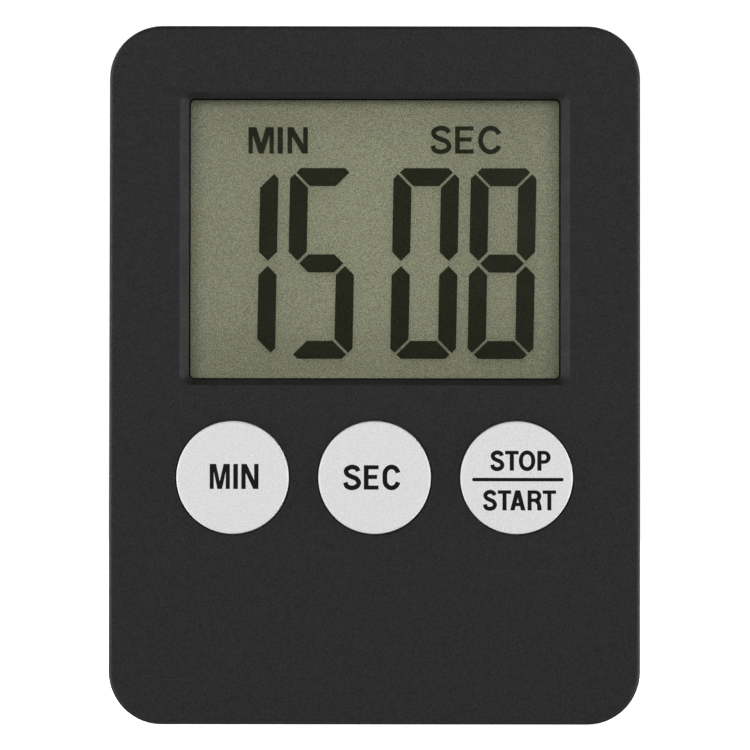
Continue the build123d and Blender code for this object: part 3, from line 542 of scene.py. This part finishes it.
WHITE = (1, 1, 1, 1)
WORLD_FILL, WORLD_SEEN = 0.15, 1.1
FLOOR_RADIUS, FLOOR_GLOW = 4.0, 0.92


def make_camera():
    data = bpy.data.cameras.new("camera")
    data.sensor_width = SENSOR
    data.lens = SENSOR * CAMERA_DISTANCE / FRAME_WIDTH
    data.clip_start = 0.01
    data.clip_end = 20
    camera = bpy.data.objects.new("camera", data)
    sight = Vector((0, math.cos(CAMERA_RISE), math.sin(CAMERA_RISE)))
    camera.location = CAMERA_TARGET - CAMERA_DISTANCE * sight
    camera.rotation_euler = (math.pi / 2 + CAMERA_RISE, CAMERA_ROLL, 0)
    scene.collection.objects.link(camera)
    scene.camera = camera


def area_light(name, place, size, power):
    """A softbox aimed at the timer's middle."""
    data = bpy.data.lights.new(name, "AREA")
    data.shape = "RECTANGLE"
    data.size, data.size_y = size
    data.energy = power
    light = bpy.data.objects.new(name, data)
    light.location = place
    towards = Vector((0, 0, MID_Z)) - Vector(place)
    light.rotation_euler = towards.to_track_quat("-Z", "Y").to_euler()
    scene.collection.objects.link(light)


def make_lights():
    """Softboxes in front, beside, behind, above and below. Places and sizes in metres, powers in watts."""
    for side in (-1, 1):
        area_light(f"front_{side}", (side * 0.21, -0.57, 0.14), (0.28, 0.25), 0.76)
        area_light(f"rim_{side}", (side * 0.45, -0.04, 0.05), (0.25, 0.5), 2.5)
        area_light(f"back_{side}", (side * 0.15, 0.45, 0.30), (0.3, 0.3), 1.5)
    area_light("top", (0, -0.30, 0.45), (0.5, 0.25), 0.25)
    area_light("low", (0, -0.20, -0.40), (0.5, 0.25), 0.78)


def make_world():
    """White to the camera, and a dim even fill for everything else."""
    world = bpy.data.worlds.new("studio")
    scene.world = world
    world.use_nodes = True
    tree = world.node_tree
    fill = tree.nodes["Background"]
    fill.inputs["Color"].default_value = WHITE
    fill.inputs["Strength"].default_value = WORLD_FILL
    seen = tree.nodes.new("ShaderNodeBackground")
    seen.inputs["Color"].default_value = WHITE
    seen.inputs["Strength"].default_value = WORLD_SEEN
    path = tree.nodes.new("ShaderNodeLightPath")
    mix = tree.nodes.new("ShaderNodeMixShader")
    tree.links.new(path.outputs["Is Camera Ray"], mix.inputs["Fac"])
    tree.links.new(fill.outputs["Background"], mix.inputs[1])
    tree.links.new(seen.outputs["Background"], mix.inputs[2])
    tree.links.new(mix.outputs["Shader"], tree.nodes["World Output"].inputs["Surface"])


def make_floor():
    """A wide pale floor that glows a little, so that it meets the white world without a line."""
    shape = bmesh.new()
    bmesh.ops.create_circle(shape, cap_ends=True, radius=FLOOR_RADIUS, segments=96)
    mesh = bpy.data.meshes.new("floor")
    shape.to_mesh(mesh)
    shape.free()
    floor = mesh_object("floor", mesh)
    material, shader = new_material("floor")
    link(material, uneven(material, 0.004, 0.91, 0.01), shader.inputs["Base Color"])
    shader.inputs["Roughness"].default_value = 0.9
    shader.inputs["Emission Color"].default_value = WHITE
    shader.inputs["Emission Strength"].default_value = FLOOR_GLOW
    mesh.materials.append(material)
    floor.visible_diffuse = False
    floor.visible_glossy = False
    floor.visible_shadow = False


dress_nodes()
make_digits()
make_display_words()
make_legends()
make_camera()
make_lights()
make_world()
make_floor()
